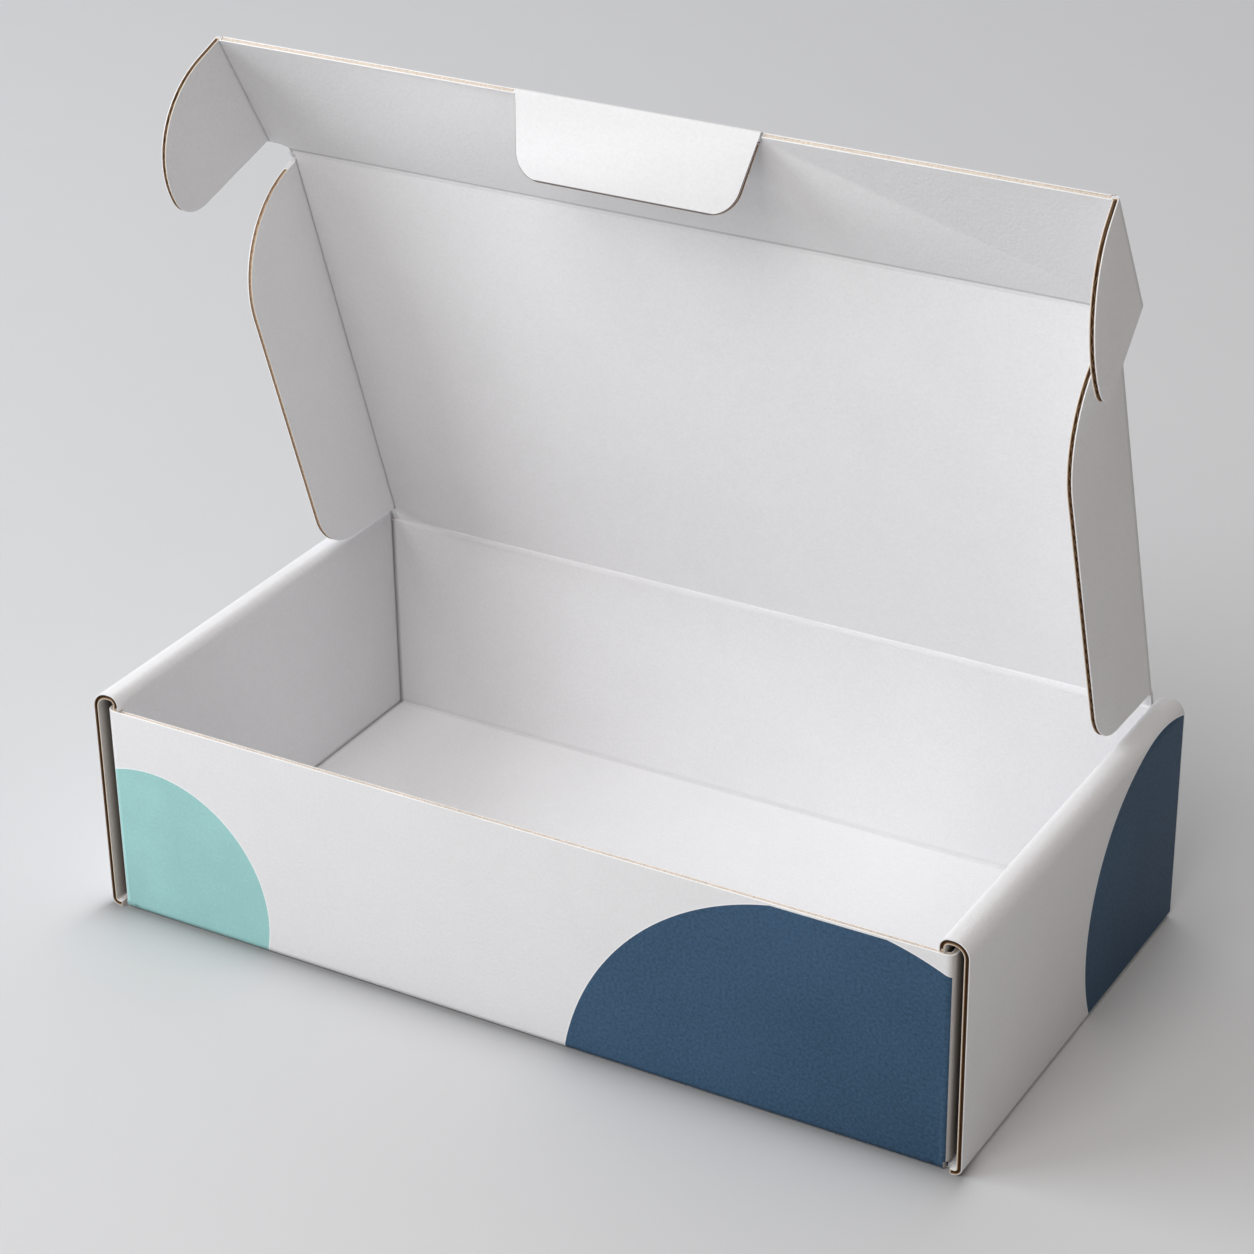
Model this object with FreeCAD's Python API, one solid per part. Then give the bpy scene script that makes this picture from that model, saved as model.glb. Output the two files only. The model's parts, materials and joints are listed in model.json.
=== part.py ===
import FreeCAD, Part
import math
import os

# Corrugated mailer box, open, in millimetres.
# X runs across the box, the front panel faces -Y, Z is up and the base lies on z = 0.
# Every piece is folded board of one thickness. The tray is a single folded sheet.
# The lid and its flaps turn on creases, so each of them is a piece of its own.

Vector = FreeCAD.Vector
Rotation = FreeCAD.Rotation
Placement = FreeCAD.Placement

# Board and outside size
BOARD = 1.5
WIDTH = 250.0
DEPTH = 130.0
HEIGHT = 65.0

# Fits
CREASE_GAP = 0.06      # between the round edge of a flap and the sheet it turns in
CREASE_END = 0.3       # at each end of that round edge
SLIDE_GAP = 0.6        # beside a flap that slides down inside a wall
FOLD_GAP = 0.3         # between folded layers of the tray
TUCK_GAP = 0.35        # between the front panel and the tuck flap of the shut box

# Bends, as radii of the middle of the board
BEND = 1.45
ROLL_OUTER_BEND = 3.6
ROLL_INNER_BEND = 2.0

# Tray
DOUBLE_WALL = 8.0      # outer face to inner face of a side wall
EAR_SLOT = 2.5         # slot beside each front corner that takes an ear
FRONT_TOP = 60.5
HINGE_Z = 62.0
CORNER_FLAP = 46.0     # length of the flaps folded back inside the side walls
CORNER_CUT = 8.0       # taken off the top of a corner flap's far end
CORNER_CUT_DROP = 16.0
LOCK_TAB_WIDTH = 26.0  # tabs of the inner walls that stand in slots of the base
LOCK_TAB_Y = 34.0
LOCK_TAB_RISE = 0.2    # the tabs stop this far above the table

# Lid
LID_LEAN = 17.8        # degrees forward of upright
LID_BEND_MOST = 90.0   # the tuck flap and the ears turn in no further than square

# Side flaps of the lid. Lengths along a fold start at the hinge.
SIDE_FLAP_REACH = 32.5
SIDE_FLAP_START = 4.2
SIDE_FLAP_FRONT = 1.5       # the fold stops this far short of the tuck flap
SIDE_FLAP_SHOULDER = 1.2    # by this far from the fold the flap has drawn in behind the front panel
SIDE_FLAP_TAPER = 0.33
SIDE_FLAP_LEAN = 1.0
SIDE_FLAP_FRONT_ROUND = 29.0
SIDE_FLAP_HINGE_ROUND = 16.0
SIDE_FLAP_MOST = 100.0      # furthest a side flap can turn in, in degrees

# Tuck flap
TUCK_LENGTH = 40.0
TUCK_BEND = 12.0       # degrees from flat
TUCK_NECK = 0.4        # the neck at the crease is this much narrower than the lid on each side
TUCK_NECK_LENGTH = 1.0
TUCK_SHOULDER = 2.0    # where the flap has its full width
TUCK_SHOULDER_RUN = 2.5

# Ears. Lengths along a fold start at the lid's crease.
EAR_REACH = 34.5
EAR_BEND = 82.0
EAR_START = 2.4
EAR_FRONT_LEAN = 1.0
EAR_TAPER = 3.5
EAR_FRONT_ROUND = 26.0
EAR_HEEL_ROUND = 8.5

# Tab on the tuck flap's free edge
TAB_LENGTH = 20.5
TAB_WIDTH = 67.0
TAB_LEAN = 4.0
TAB_ROUND = 8.0
TAB_BEND = 130.0
TAB_MOST = 150.0       # furthest the tab folds over

# Lines and planes worked out from the sizes above
HALF = BOARD / 2
OUTER_BEND = BEND + HALF
SIDE = WIDTH / 2
END = DEPTH / 2
SLOT_INNER = SIDE - BOARD - EAR_SLOT
WALL_INNER = SIDE - DOUBLE_WALL
REAR_TOP = HINGE_Z - HALF - CREASE_GAP
WALL_END = END - BOARD - FOLD_GAP
LID_EDGE = WALL_INNER - SLIDE_GAP
SIDE_FOLD = LID_EDGE - HALF
EAR_FOLD = SIDE - BOARD - EAR_SLOT / 2
HINGE_Y = END - HALF
LID_LENGTH = HINGE_Y + END + HALF + TUCK_GAP
SIDE_STOP = LID_LENGTH - SIDE_FLAP_FRONT
BEHIND_FRONT = HINGE_Y + END - BOARD - SLIDE_GAP


def corner(before, here, after, radius):
    """Start, middle and end of the arc that rounds one corner."""
    into = (here - before).normalize()
    out = (after - here).normalize()
    turn = into.getAngle(out)
    reach = radius * math.tan(turn / 2)
    inward = (out - into).normalize()
    centre = here + inward * (radius / math.cos(turn / 2))
    return here - into * reach, centre - inward * radius, here + out * reach


def outline(points):
    """Face in the XY plane. Each point is x, y and the radius that rounds it."""
    places = [Vector(x, y, 0) for x, y, radius in points]
    corners = []
    for i, (x, y, radius) in enumerate(points):
        if radius > 0:
            corners.append(corner(places[i - 1], places[i], places[(i + 1) % len(places)], radius))
        else:
            corners.append((places[i], None, places[i]))
    edges = []
    for i, (start, middle, end) in enumerate(corners):
        if middle is not None:
            edges.append(Part.Arc(start, middle, end).toShape())
        following = corners[(i + 1) % len(corners)][0]
        if (following - end).Length > 1e-6:
            edges.append(Part.makeLine(end, following))
    return Part.Face(Part.Wire(edges))


def bent_strip(path):
    """Outline of board on edge. The path follows its middle, as x, y and bend radius."""
    left = []
    right = []
    last = len(path) - 1
    for i, (x, y, radius) in enumerate(path):
        here = Vector(x, y, 0)
        into = here - Vector(path[max(i - 1, 0)][0], path[max(i - 1, 0)][1], 0)
        out = Vector(path[min(i + 1, last)][0], path[min(i + 1, last)][1], 0) - here
        into = (into if i > 0 else out).normalize()
        out = (out if i < last else into).normalize()
        side_in = Vector(-into.y, into.x, 0)
        side_out = Vector(-out.y, out.x, 0)
        across = (side_in + side_out) * (HALF / (1 + side_in.dot(side_out)))
        turn = into.x * out.y - into.y * out.x
        change = math.copysign(HALF, turn) if radius > 0 else 0
        left.append((x + across.x, y + across.y, radius - change))
        right.append((x - across.x, y - across.y, radius + change))
    return outline(right + left[::-1])


def along_x(face, x0, x1):
    """Solid from a face drawn as y, z."""
    solid = face.extrude(Vector(0, 0, x1 - x0))
    return solid.transformed(Placement(Vector(x0, 0, 0), Rotation(Vector(1, 1, 1), 120)).toMatrix())


def along_y(face, y0, y1):
    """Solid from a face drawn as x, z."""
    solid = face.extrude(Vector(0, 0, y1 - y0))
    return solid.transformed(Placement(Vector(0, y1, 0), Rotation(Vector(1, 0, 0), 90)).toMatrix())


def along_z(face, z0, z1):
    """Solid from a face drawn as x, y."""
    solid = face.extrude(Vector(0, 0, z1 - z0))
    solid.translate(Vector(0, 0, z0))
    return solid


def box(x0, x1, y0, y1, z0, z1):
    return Part.makeBox(x1 - x0, y1 - y0, z1 - z0, Vector(x0, y0, z0))


def joined(pieces):
    return pieces[0].fuse(pieces[1:]).removeSplitter()


def mirrored(shape, normal):
    return shape.mirror(Vector(0, 0, 0), normal)


# Tray

# Sheets that become one solid are drawn this far into each other, and cutters this far past a face
OVERLAP = 1.0


def side_wall():
    """Right side: outer wall, roll over the top and inner wall, in one bent strip."""
    path = [
        (SIDE - OUTER_BEND - OVERLAP, HALF, 0),
        (SIDE - HALF, HALF, BEND),
        (SIDE - HALF, HEIGHT - HALF, ROLL_OUTER_BEND),
        (WALL_INNER + HALF, HEIGHT - HALF, ROLL_INNER_BEND),
        (WALL_INNER + HALF, BOARD + FOLD_GAP, 0),
    ]
    wall = along_y(bent_strip(path), -END, END)
    # below the roll the inner wall stops just short of the front and rear panels
    x0 = WALL_INNER - OVERLAP
    x1 = WALL_INNER + BOARD + FOLD_GAP
    for end, top in ((-1, FRONT_TOP), (1, REAR_TOP)):
        y0, y1 = sorted((end * WALL_END, end * (END + OVERLAP)))
        wall = wall.cut(box(x0, x1, y0, y1, 0, top + FOLD_GAP))
    tabs = []
    for y in (-LOCK_TAB_Y, LOCK_TAB_Y):
        half_width = LOCK_TAB_WIDTH / 2
        tabs.append(box(WALL_INNER, WALL_INNER + BOARD, y - half_width, y + half_width,
                        LOCK_TAB_RISE, BOARD + OVERLAP))
    return joined([wall] + tabs)


def base():
    flat_x = SIDE - OUTER_BEND
    flat_y = END - OUTER_BEND
    panel = box(-flat_x, flat_x, -flat_y, flat_y, 0, BOARD)
    half_slot = (BOARD + FOLD_GAP) / 2
    reach = LOCK_TAB_WIDTH / 2 + FOLD_GAP
    for side in (-1, 1):
        middle = side * (WALL_INNER + HALF)
        for y in (-LOCK_TAB_Y, LOCK_TAB_Y):
            panel = panel.cut(box(middle - half_slot, middle + half_slot, y - reach, y + reach,
                                  -OVERLAP, BOARD + OVERLAP))
    return panel


def end_panel(top):
    """Front panel with its two corner flaps, folded back inside the side walls."""
    fold = SLOT_INNER - OUTER_BEND
    foot = OUTER_BEND + FOLD_GAP
    panel = bent_strip([
        (-END + OUTER_BEND + OVERLAP, HALF, 0),
        (-END + HALF, HALF, BEND),
        (-END + HALF, top, 0),
    ])
    foot_bend = bent_strip([
        (-END + OUTER_BEND + OVERLAP, HALF, 0),
        (-END + HALF, HALF, BEND),
        (-END + HALF, foot, 0),
    ])
    flap = bent_strip([
        (fold - OVERLAP, -END + HALF, 0),
        (SLOT_INNER - HALF, -END + HALF, BEND),
        (SLOT_INNER - HALF, -END + CORNER_FLAP, 0),
    ])
    flap = along_z(flap, foot, FRONT_TOP)
    # the flap's far end is cut back at the top so that it slides in easily
    taper = outline([
        (-END + CORNER_FLAP - CORNER_CUT, FRONT_TOP + OVERLAP, 0),
        (-END + CORNER_FLAP + OVERLAP, FRONT_TOP + OVERLAP, 0),
        (-END + CORNER_FLAP + OVERLAP, FRONT_TOP - CORNER_CUT_DROP, 0),
        (-END + CORNER_FLAP, FRONT_TOP - CORNER_CUT_DROP, 0),
    ])
    flap = flap.cut(along_x(taper, SLOT_INNER - BOARD - OVERLAP, SLOT_INNER + OVERLAP))
    return joined([
        along_x(panel, -fold, fold),
        along_x(foot_bend, -SLOT_INNER + OVERLAP, SLOT_INNER - OVERLAP),
        flap,
        mirrored(flap, Vector(1, 0, 0)),
    ])


def tray():
    wall = side_wall()
    front = end_panel(FRONT_TOP)
    rear = mirrored(end_panel(REAR_TOP), Vector(0, 1, 0))
    return joined([base(), wall, mirrored(wall, Vector(1, 0, 0)), front, rear])


# Lid and flaps, each drawn flat around its own fold: x across, y away from the fold,
# z towards the side that faces inwards when the box is shut

def plate(points):
    """Flat board with the given outline, its middle at z = 0."""
    return along_z(outline(points), -HALF, HALF)


def round_edge(x0, x1):
    """Round edge on which a flap turns, along its fold."""
    return Part.makeCylinder(HALF, x1 - x0, Vector(x0, 0, 0), Vector(1, 0, 0))


def crease(x0, x1, most=LID_BEND_MOST):
    """What a sheet loses where a flap turns inwards at its edge. The sheet lies at y < 0."""
    radius = HALF + CREASE_GAP
    groove = Part.makeCylinder(radius, x1 - x0, Vector(x0, 0, 0), Vector(1, 0, 0))
    beyond = box(x0, x1, -CREASE_END, HALF + OVERLAP, -BOARD, BOARD)
    # with the flap folded in as far as it goes, its face must clear the sheet's edge
    between = math.radians(180 - most)
    rise = math.tan(between)
    drop = radius / math.cos(between)
    if most > 90:
        opening = outline([
            (0, -drop, 0),
            (0, BOARD, 0),
            (-(BOARD + drop) / rise, BOARD, 0),
        ])
    else:
        opening = outline([
            (0, 0, 0),
            (0, BOARD, 0),
            (-radius, BOARD, 0),
            (-radius, 0, 0),
        ])
    return groove.fuse([beyond, along_x(opening, x0, x1)])


def lid():
    panel = plate([
        (-LID_EDGE, 0, 0),
        (LID_EDGE, 0, 0),
        (LID_EDGE, LID_LENGTH, 0),
        (-LID_EDGE, LID_LENGTH, 0),
    ])
    panel = joined([panel, round_edge(-LID_EDGE, LID_EDGE)])
    panel = panel.cut(at_front_of_lid(crease(-LID_EDGE - OVERLAP, LID_EDGE + OVERLAP)))
    for side in (-1, 1):
        span = side_span(side, SIDE_FLAP_START, SIDE_STOP)
        panel = panel.cut(at_side(crease(*span, SIDE_FLAP_MOST), side, SIDE_FOLD))
    return panel


def side_flap():
    """Left side flap, with x along the fold from the hinge towards the front."""
    start = SIDE_FLAP_START + CREASE_END
    stop = SIDE_STOP - CREASE_END
    points = [
        (start, 0, 0),
        (stop, 0, 0),
        (BEHIND_FRONT, SIDE_FLAP_SHOULDER, 0),
        (BEHIND_FRONT - SIDE_FLAP_LEAN, SIDE_FLAP_REACH, SIDE_FLAP_FRONT_ROUND),
        (start + SIDE_FLAP_TAPER * SIDE_FLAP_REACH, SIDE_FLAP_REACH, SIDE_FLAP_HINGE_ROUND),
    ]
    return joined([plate(points), round_edge(start, stop)])


def tuck_flap():
    neck = LID_EDGE - TUCK_NECK
    shoulder = neck + TUCK_SHOULDER_RUN
    panel = plate([
        (-neck, 0, 0),
        (neck, 0, 0),
        (neck, TUCK_NECK_LENGTH, 0),
        (shoulder, TUCK_SHOULDER, 0),
        (EAR_FOLD, TUCK_SHOULDER, 0),
        (EAR_FOLD, TUCK_LENGTH, 0),
        (-EAR_FOLD, TUCK_LENGTH, 0),
        (-EAR_FOLD, TUCK_SHOULDER, 0),
        (-shoulder, TUCK_SHOULDER, 0),
        (-neck, TUCK_NECK_LENGTH, 0),
    ])
    panel = joined([panel, round_edge(-neck, neck)])
    tab_reach = TAB_WIDTH / 2 + CREASE_END
    tab_crease = crease(-tab_reach, tab_reach, TAB_MOST)
    tab_crease.translate(Vector(0, TUCK_LENGTH, 0))
    panel = panel.cut(tab_crease)
    for side in (-1, 1):
        span = side_span(side, EAR_START, TUCK_LENGTH + OVERLAP)
        panel = panel.cut(at_side(crease(*span), side, EAR_FOLD))
    return panel


def ear():
    """Left ear, with x along the fold from the crease of the lid towards the free edge."""
    start = EAR_START + CREASE_END
    stop = TUCK_LENGTH
    points = [
        (start, 0, 0),
        (stop, 0, 0),
        (stop + EAR_FRONT_LEAN, EAR_REACH, EAR_FRONT_ROUND),
        (start + EAR_TAPER, EAR_REACH, EAR_HEEL_ROUND),
    ]
    return joined([plate(points), round_edge(start, stop)])


def lock_tab():
    half_width = TAB_WIDTH / 2
    points = [
        (-half_width, 0, 0),
        (half_width, 0, 0),
        (half_width - TAB_LEAN, TAB_LENGTH, TAB_ROUND),
        (-half_width + TAB_LEAN, TAB_LENGTH, TAB_ROUND),
    ]
    return joined([plate(points), round_edge(-half_width, half_width)])


def side_span(side, start, stop):
    """Ends of a side fold in the frame of at_side."""
    return (start, stop) if side < 0 else (-stop, -start)


def at_front_of_lid(shape):
    return shape.translated(Vector(0, LID_LENGTH, 0))


def side_placement(side, fold, bend):
    """From a flap drawn along X to its place on the left (-1) or right (1) edge of a sheet."""
    turn = Rotation(Vector(0, 0, 1), 90 if side < 0 else -90)
    tip = Rotation(Vector(1, 0, 0), bend)
    return Placement(Vector(side * fold, 0, 0), turn.multiply(tip))


def at_side(shape, side, fold):
    return shape.transformed(side_placement(side, fold, 0).toMatrix())


def placed(shape, placement):
    return shape.transformed(placement.toMatrix())


def fold_over(distance, bend):
    """From a flap's own frame to the frame of the sheet it is on, a distance from that sheet's fold."""
    return Placement(Vector(0, distance, 0), Rotation(Vector(1, 0, 0), bend))


# Every piece where it is at rest, with the lid open

lid_place = Placement(Vector(0, HINGE_Y, HINGE_Z), Rotation(Vector(1, 0, 0), 90 + LID_LEAN))
tuck_place = lid_place.multiply(fold_over(LID_LENGTH, TUCK_BEND))
tab_place = tuck_place.multiply(fold_over(TUCK_LENGTH, TAB_BEND))

left_flap = side_flap()
right_flap = mirrored(left_flap, Vector(1, 0, 0))
left_ear = ear()
right_ear = mirrored(left_ear, Vector(1, 0, 0))

parts = {
    "tray": tray(),
    "lid": placed(lid(), lid_place),
    "side_flap_left": placed(left_flap, lid_place.multiply(side_placement(-1, SIDE_FOLD, 90))),
    "side_flap_right": placed(right_flap, lid_place.multiply(side_placement(1, SIDE_FOLD, 90))),
    "tuck_flap": placed(tuck_flap(), tuck_place),
    "ear_left": placed(left_ear, tuck_place.multiply(side_placement(-1, EAR_FOLD, EAR_BEND))),
    "ear_right": placed(right_ear, tuck_place.multiply(side_placement(1, EAR_FOLD, EAR_BEND))),
    "lock_tab": placed(lock_tab(), tab_place),
}

os.makedirs("parts", exist_ok=True)
for name, shape in parts.items():
    if len(shape.Solids) != 1 or not shape.isValid():
        raise ValueError(name + " isn't one sound solid")
    shape.Solids[0].exportStep("parts/" + name + ".step")
    print(name, round(shape.Volume), "mm3")
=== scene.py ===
# %% [markdown]
# A mailer box of white corrugated board, standing open on a pale table.
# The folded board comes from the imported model, in metres, with its front panel towards -Y.
# This script adds what makes it look like board: cut edges with a brown corrugated core between
# two liners, paper grain, printed discs, soft creases, and the light and camera of a product picture.

# %% Load the frame
import math
import bmesh
import bpy
from mathutils import Matrix, Vector, noise
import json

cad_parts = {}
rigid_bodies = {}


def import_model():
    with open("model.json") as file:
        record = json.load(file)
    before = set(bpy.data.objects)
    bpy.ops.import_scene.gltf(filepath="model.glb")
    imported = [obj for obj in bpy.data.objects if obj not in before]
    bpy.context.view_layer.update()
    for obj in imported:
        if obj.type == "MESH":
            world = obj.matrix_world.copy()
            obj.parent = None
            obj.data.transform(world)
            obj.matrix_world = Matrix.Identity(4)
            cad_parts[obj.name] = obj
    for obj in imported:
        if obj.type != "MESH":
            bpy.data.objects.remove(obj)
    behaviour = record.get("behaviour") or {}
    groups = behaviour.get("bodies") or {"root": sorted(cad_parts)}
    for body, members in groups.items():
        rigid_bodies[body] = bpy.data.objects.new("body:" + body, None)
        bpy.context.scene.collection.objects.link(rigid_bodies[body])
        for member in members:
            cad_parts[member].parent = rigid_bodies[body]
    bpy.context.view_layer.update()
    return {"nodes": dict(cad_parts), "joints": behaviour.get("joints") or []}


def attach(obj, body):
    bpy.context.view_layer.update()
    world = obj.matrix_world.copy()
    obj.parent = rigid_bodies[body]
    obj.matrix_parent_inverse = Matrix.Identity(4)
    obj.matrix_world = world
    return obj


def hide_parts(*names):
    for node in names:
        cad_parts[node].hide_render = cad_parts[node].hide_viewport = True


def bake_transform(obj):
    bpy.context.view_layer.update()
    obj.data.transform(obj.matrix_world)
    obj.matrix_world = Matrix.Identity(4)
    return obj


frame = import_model()
MM = 0.001
print("nodes", sorted(frame["nodes"]))

# %% [markdown]
# The camera first. The picture looks down on the box from its right front, through a long lens.
# A camera can be aimed with a constraint, but a direction worked out from two angles is easier to
# tune against a photograph. The small roll is turned about the line of sight.

# %% Camera
CAMERA_PLACE = Vector((0.3869, -0.6641, 0.4896))
AZIMUTH = math.radians(30.36)
ELEVATION = math.radians(27.76)
ROLL = math.radians(-0.86)
SENSOR_WIDTH = 36.0
FOCAL_PIXELS = 3410
PICTURE_PIXELS = 1254

backward = Vector((math.sin(AZIMUTH) * math.cos(ELEVATION),
                   -math.cos(AZIMUTH) * math.cos(ELEVATION),
                   math.sin(ELEVATION)))
camera_data = bpy.data.cameras.new("camera")
camera_data.sensor_width = SENSOR_WIDTH
camera_data.lens = FOCAL_PIXELS / PICTURE_PIXELS * SENSOR_WIDTH
camera = bpy.data.objects.new("camera", camera_data)
turn = backward.to_track_quat("Z", "Y").to_matrix() @ Matrix.Rotation(ROLL, 3, "Z")
camera.matrix_world = Matrix.Translation(CAMERA_PLACE) @ turn.to_4x4()
bpy.context.scene.collection.objects.link(camera)
bpy.context.scene.camera = camera
print("lens", round(camera_data.lens, 1), "mm")

# %% [markdown]
# Soft studio light. The shadows in the picture are wide and fall to the right and back, so the main
# light is broad and stands at the left front. A second panel in front fills the lid, and a weak one
# behind keeps the far floor as bright as the near floor. A warm pale world lifts the shadows, as the
# walls of a room do. White board has to come out near white, so the picture keeps plain tones and
# not a film curve.

# %% Light
WORLD_COLOUR = (1.0, 0.94, 0.87, 1)
WORLD_STRENGTH = 0.31
LIGHT_AIM = Vector((0, 0, 0.05))
LIGHT_DISTANCE = 1.7
# name, degrees round the box, degrees above the floor, width, height, watts, colour
PANELS = [("key", 210, 30, 1.3, 1.2, 20.0, (0.92, 0.96, 1.0)),
          ("front", 270, 50, 0.9, 0.9, 10.9, (1.0, 0.98, 0.965)),
          ("behind", 120, 40, 1.6, 1.0, 6.1, (0.87, 0.92, 1.0))]


def soft_panel(name, around, above, width, height, watts, colour):
    """Rectangular light that faces the box, by its angles round the box and above the floor."""
    turn, rise = math.radians(around), math.radians(above)
    aim = Vector((math.cos(turn) * math.cos(rise), math.sin(turn) * math.cos(rise), math.sin(rise)))
    place = LIGHT_AIM + LIGHT_DISTANCE * aim
    data = bpy.data.lights.new(name, "AREA")
    data.shape = "RECTANGLE"
    data.size = width
    data.size_y = height
    data.energy = watts
    data.color = colour
    light = bpy.data.objects.new(name, data)
    light.matrix_world = Matrix.Translation(place) @ aim.to_track_quat("Z", "Y").to_matrix().to_4x4()
    bpy.context.scene.collection.objects.link(light)
    return light


world = bpy.data.worlds.new("studio")
world.use_nodes = True
world.node_tree.nodes["Background"].inputs["Color"].default_value = WORLD_COLOUR
world.node_tree.nodes["Background"].inputs["Strength"].default_value = WORLD_STRENGTH
bpy.context.scene.world = world
for panel in PANELS:
    soft_panel(*panel)
bpy.context.scene.view_settings.view_transform = "Standard"

# %% [markdown]
# Materials are trees of nodes. A few short helpers keep them readable. They add a node with its
# settings and inputs, do one sum, carry a value from one range over to another, and start a group,
# which is a small tree that several materials share.

# %% Node helpers
def add(tree, kind, inputs=None, **settings):
    """New shader node. An input is given as a value, or as the socket that feeds it."""
    made = tree.nodes.new("ShaderNode" + kind)
    for name, value in settings.items():
        setattr(made, name, value)
    for name, value in (inputs or {}).items():
        socket = made.inputs[name]
        if isinstance(value, bpy.types.NodeSocket):
            tree.links.new(value, socket)
        else:
            socket.default_value = value
    return made


def sums(tree, operation, *values):
    """Math node with its inputs in order, and its result."""
    return add(tree, "Math", dict(enumerate(values)), operation=operation).outputs[0]


def vectors(tree, operation, *values, result="Vector"):
    """Vector math node with its inputs in order, and its result."""
    return add(tree, "VectorMath", dict(enumerate(values)), operation=operation).outputs[result]


def ramp(tree, value, low, high, start, end, blend="LINEAR"):
    """A value carried from the range low to high over to the range start to end, and held past both ends."""
    return add(tree, "MapRange", {"Value": value, "From Min": low, "From Max": high, "To Min": start,
                                  "To Max": end}, interpolation_type=blend).outputs["Result"]


def new_group(name, inputs, outputs):
    """Empty shader group with its sockets, as name and kind."""
    group = bpy.data.node_groups.new(name, "ShaderNodeTree")
    for label, kind in inputs:
        group.interface.new_socket(label, in_out="INPUT", socket_type="NodeSocket" + kind)
    for label, kind in outputs:
        group.interface.new_socket(label, in_out="OUTPUT", socket_type="NodeSocket" + kind)
    return group, group.nodes.new("NodeGroupInput").outputs, group.nodes.new("NodeGroupOutput").inputs


def new_material(name):
    """Material with one Principled surface, and the place on the object as its texture coordinates."""
    material = bpy.data.materials.new(name)
    material.use_nodes = True
    tree = material.node_tree
    return material, tree, tree.nodes["Principled BSDF"], add(tree, "TexCoord").outputs


print("helpers ready")

# %% [markdown]
# Uncoated white liner is never one flat colour. Fibres make a grain under a millimetre across, and
# the sheet is a little cloudy over a few centimetres. The group gives a tone near 1 to multiply the
# colour by, and a height for the bump. Fibre is how many grains go in a metre.

# %% Paper grain
CLOUDS_PER_METRE = 38.0


def paper_grain_group():
    group, given, result = new_group("paper_grain",
                                     [("Place", "Vector"), ("Fibre", "Float"), ("Grain", "Float"),
                                      ("Cloud", "Float")],
                                     [("Tone", "Float"), ("Height", "Float")])
    fine = add(group, "TexNoise", {"Vector": given["Place"], "Scale": given["Fibre"], "Detail": 4.0,
                                   "Roughness": 0.62}).outputs["Fac"]
    cloud = add(group, "TexNoise", {"Vector": given["Place"], "Scale": CLOUDS_PER_METRE, "Detail": 3.0,
                                    "Roughness": 0.55}).outputs["Fac"]
    grained = sums(group, "MULTIPLY_ADD", sums(group, "SUBTRACT", fine, 0.5), given["Grain"], 1.0)
    toned = sums(group, "MULTIPLY_ADD", sums(group, "SUBTRACT", cloud, 0.5), given["Cloud"], grained)
    group.links.new(toned, result["Tone"])
    group.links.new(fine, result["Height"])
    return group


paper_grain = paper_grain_group()
print("group", paper_grain.name)

# %% [markdown]
# A crease or an inner corner gathers shade, and here that shade is painted into the colour. The edges of the
# sheets meet there with a hair of a gap, and the board is pinched, so a soft grey line of painted shade runs
# along it. The line is worked out from its distance to a straight line in space, which works for any
# direction.

# %% Shaded line
def shaded_line_group():
    """Tone that falls from 1 to 1 - Depth from Far to Near of a line through On along Along."""
    group, given, result = new_group("shaded_line",
                                     [("Place", "Vector"), ("On", "Vector"), ("Along", "Vector"),
                                      ("Near", "Float"), ("Far", "Float"), ("Depth", "Float")],
                                     [("Tone", "Float")])
    away = vectors(group, "SUBTRACT", given["Place"], given["On"])
    off = vectors(group, "CROSS_PRODUCT", away, given["Along"])
    distance = vectors(group, "LENGTH", off, result="Value")
    bottom = sums(group, "SUBTRACT", 1.0, given["Depth"])
    tone = ramp(group, distance, given["Near"], given["Far"], bottom, 1.0, "SMOOTHSTEP")
    group.links.new(tone, result["Tone"])
    return group


shaded_line = shaded_line_group()


def shade_lines(tree, place, tone, lines):
    """A tone with every line's shade on it. A line is on, along, near, far, depth."""
    for on, along, near, far, depth in lines:
        line = add(tree, "Group", {"Place": place, "On": on, "Along": along, "Near": near, "Far": far,
                                   "Depth": depth}, node_tree=shaded_line)
        tone = sums(tree, "MULTIPLY", tone, line.outputs["Tone"])
    return tone


print("group", shaded_line.name)

# %% [markdown]
# Where the sheets lie. The normal of the largest face tells how a flat sheet lies, and the side towards
# the middle of the box is its inner side. Two sheets' inner sides meet in a line at their crease.

# %% Where the sheets lie
BOARD = 1.5 * MM
HALF_BOARD = BOARD / 2
BOX_MIDDLE = Vector((0, 0, 0.06))
ALONG_X = (1, 0, 0)


def sheet_middle(name):
    points = [v.co for v in frame["nodes"][name].data.vertices]
    return sum(points, Vector()) / len(points)


def inner_normal(name):
    """Normal of the side of a flat sheet that faces the middle of the box."""
    normal = max(frame["nodes"][name].data.polygons, key=lambda face: face.area).normal.copy()
    if normal.dot(BOX_MIDDLE - sheet_middle(name)) < 0:
        normal.negate()
    return normal


def joint_to(name):
    return next(j for j in frame["joints"] if j["child"] == name)


def away_from_fold(name, child):
    """Direction in a flat sheet away from its crease with another, which runs along X."""
    normal = inner_normal(name)
    away = sheet_middle(name) - Vector(joint_to(child)["pos_m"])
    away.x = 0
    return (away - normal * away.dot(normal)).normalized()


def crease_corner(child, normal_a, normal_b):
    """Point where the inner sides of two sheets meet at a crease."""
    halfway = (normal_a + normal_b).normalized()
    return Vector(joint_to(child)["pos_m"]) + halfway * (HALF_BOARD / halfway.dot(normal_a))


tuck_corner = crease_corner("tuck_flap", inner_normal("lid"), inner_normal("tuck_flap"))
print("inner side of the lid", [round(v, 3) for v in inner_normal("lid")])
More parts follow.
